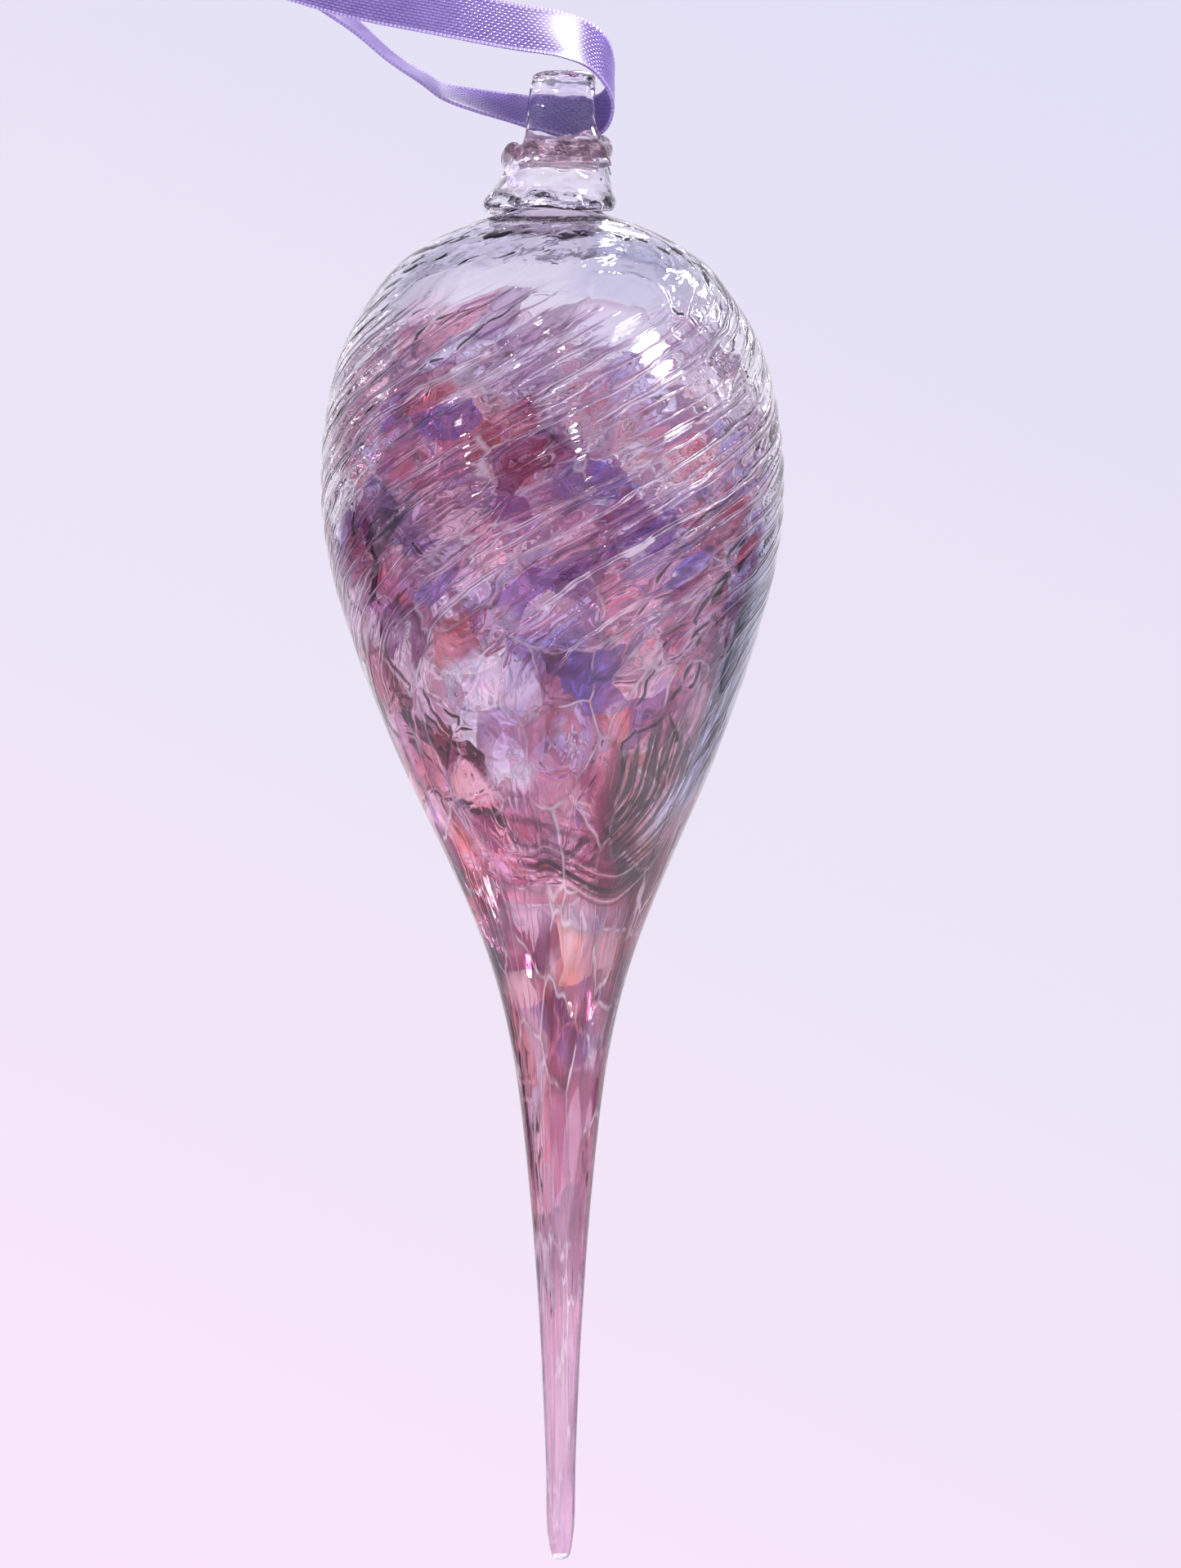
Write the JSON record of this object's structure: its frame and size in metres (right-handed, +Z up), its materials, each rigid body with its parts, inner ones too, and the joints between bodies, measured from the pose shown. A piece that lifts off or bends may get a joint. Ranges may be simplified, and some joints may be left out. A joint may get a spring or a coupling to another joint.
{
  "type": "hanging ornament",
  "caption": "Blown-glass icicle ornament: a hollow bulb drawn out into a long tapered tail, with an applied glass eye and a tied satin ribbon hanger.",
  "frame": {"origin": "the crown of the eye's hole, where the ornament hangs, on the bulb's vertical axis", "axes": "+Z up; +X along the eye's hole, to the right as seen from the front; the front faces -Y"},
  "size_m": [0.1186, 0.062, 0.2274],
  "materials": {
    "clear_glass": "fire-polished clear glass, faintly lilac",
    "coloured_glass": "rose, violet and blue frit melted into clear glass",
    "satin_ribbon": "purple satin"
  },
  "bodies": {
    "glass": {"blown_bulb": "coloured_glass", "clear_casing": "clear_glass", "hanging_eye": "clear_glass", "ribbon_wrap": "satin_ribbon"},
    "ribbon": {"ribbon_front_strand": "satin_ribbon", "ribbon_rear_strand": "satin_ribbon", "ribbon_knot": "satin_ribbon", "ribbon_tail_front": "satin_ribbon", "ribbon_tail_rear": "satin_ribbon"}
  },
  "joints": [
    {"name": "ribbon_swing", "type": "hinge", "parent": "glass", "child": "ribbon", "pos_m": [-0.004, -0.006, 0.0025], "axis": [0, 1, 0], "range_deg": [-22, 70]}
  ]
}
